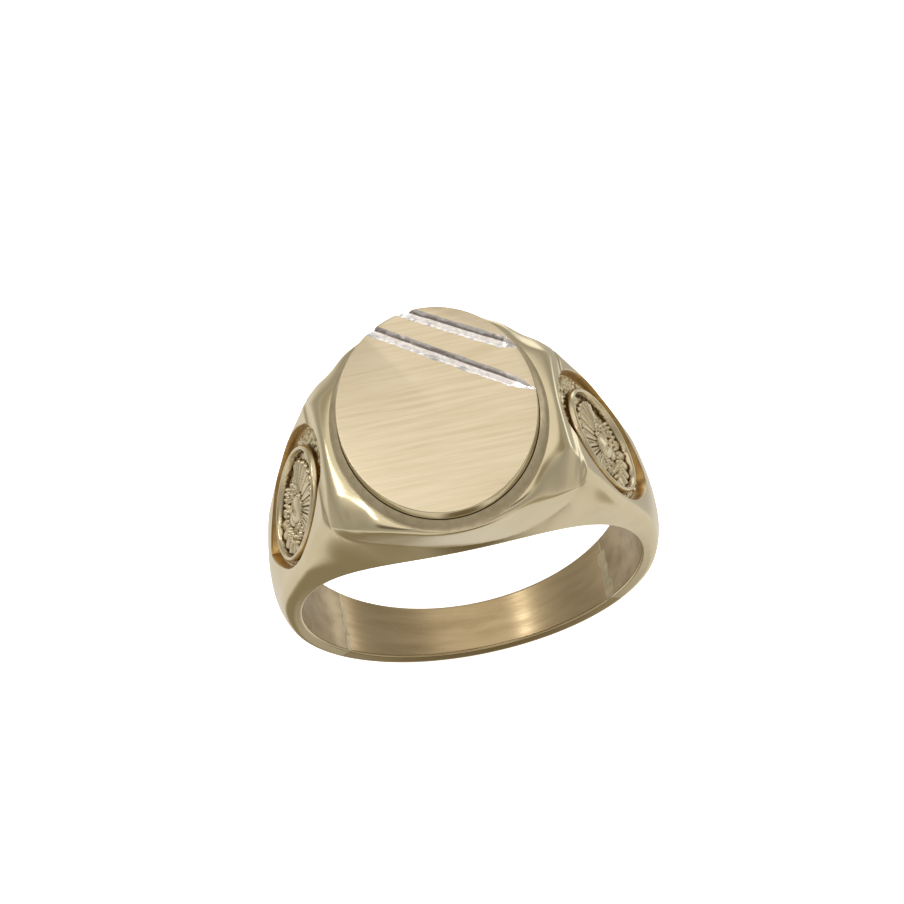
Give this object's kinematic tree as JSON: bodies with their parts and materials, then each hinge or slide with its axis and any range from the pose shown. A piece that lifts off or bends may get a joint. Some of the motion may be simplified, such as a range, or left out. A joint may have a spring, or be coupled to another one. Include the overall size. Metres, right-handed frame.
{
  "type": "signet ring",
  "caption": "Rigid gold signet ring with an oval brushed face plate, two bright-cut grooves and relief medallions on its shoulders.",
  "frame": {"origin": "centre of the finger hole, midway between the two sides of the ring", "axes": "+Y along the finger, +Z through the middle of the face plate, +X across the face"},
  "size_m": [0.0226, 0.0142, 0.0266],
  "materials": {
    "cast_gold": "polished cast yellow gold, 14 ct",
    "brushed_gold": "yellow gold, 14 ct, brushed face with bright-cut grooves",
    "struck_gold": "yellow gold, 14 ct, relief with darker recesses",
    "gold_solder": "pale gold solder"
  },
  "bodies": {
    "root": {"head_casting": "cast_gold", "lower_shank": "cast_gold", "face_plate": "brushed_gold", "left_medallion": "struck_gold", "right_medallion": "struck_gold", "face_plate_solder": "gold_solder", "left_medallion_solder": "gold_solder", "right_medallion_solder": "gold_solder", "left_seam_solder": "gold_solder", "right_seam_solder": "gold_solder"}
  },
  "joints": []
}
